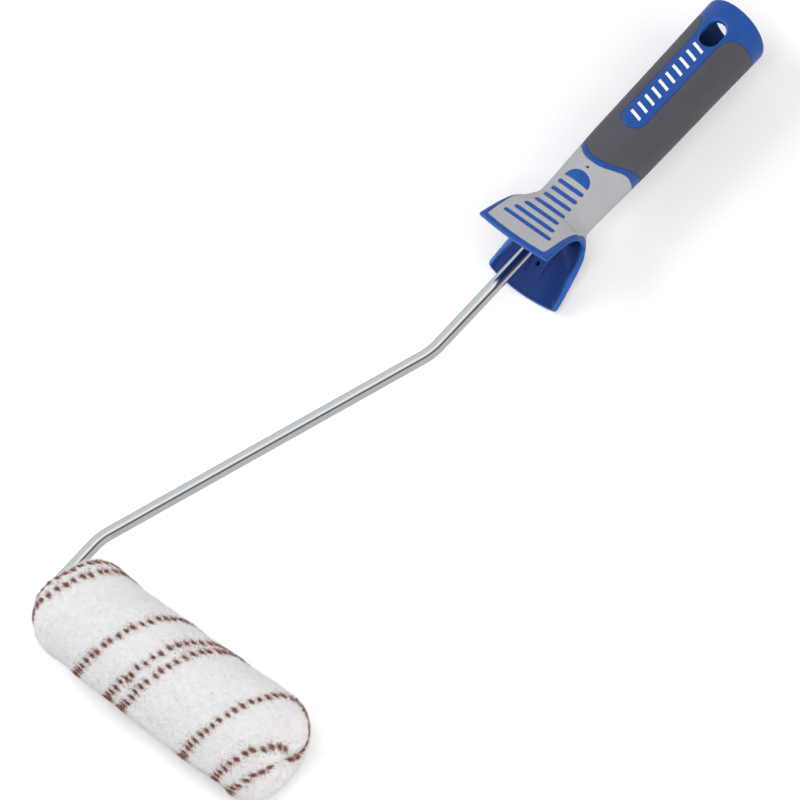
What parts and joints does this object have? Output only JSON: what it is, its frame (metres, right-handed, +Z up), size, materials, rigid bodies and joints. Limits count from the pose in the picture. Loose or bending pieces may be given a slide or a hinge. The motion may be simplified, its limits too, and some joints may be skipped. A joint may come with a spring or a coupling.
{
  "type": "mini paint roller",
  "caption": "Mini paint roller: a plush cover with rounded ends spins on a long offset wire frame with a soft-skinned handle, a split finger guard, a hanging hole and an open end.",
  "frame": {"origin": "middle of the tool's footprint, on the level surface that it lies on", "axes": "+X from the roller towards the handle's end, +Y towards the side where the wire passes the roller's end, +Z up, out of the handle's slotted top; the roller's axis lies along Y"},
  "size_m": [0.4288, 0.144, 0.0516],
  "materials": {
    "blue_plastic": "satin injection-moulded polypropylene",
    "light_rubber": "light grey soft-touch skin",
    "dark_rubber": "dark grey matte soft-touch skin",
    "zinc_wire": "bright zinc-plated drawn wire",
    "plush_pile": "white polyamide plush with brown marker threads",
    "white_plastic": "natural white polypropylene",
    "spring_steel": "plain spring steel"
  },
  "bodies": {
    "frame": {"wire_frame": "zinc_wire", "handle_core": "blue_plastic", "neck_skin": "light_rubber", "grip_skin": "dark_rubber", "thrust_washer": "white_plastic", "retaining_ring": "spring_steel"},
    "roller": {"pile_cover": "plush_pile", "core_tube": "white_plastic", "open_end_bearing": "white_plastic", "closed_end_bearing": "white_plastic"}
  },
  "joints": [
    {"name": "roller_spin", "type": "hinge", "parent": "frame", "child": "roller", "pos_m": [-0.18865, 0, 0.0258], "axis": [0, 1, 0], "continuous": true}
  ]
}
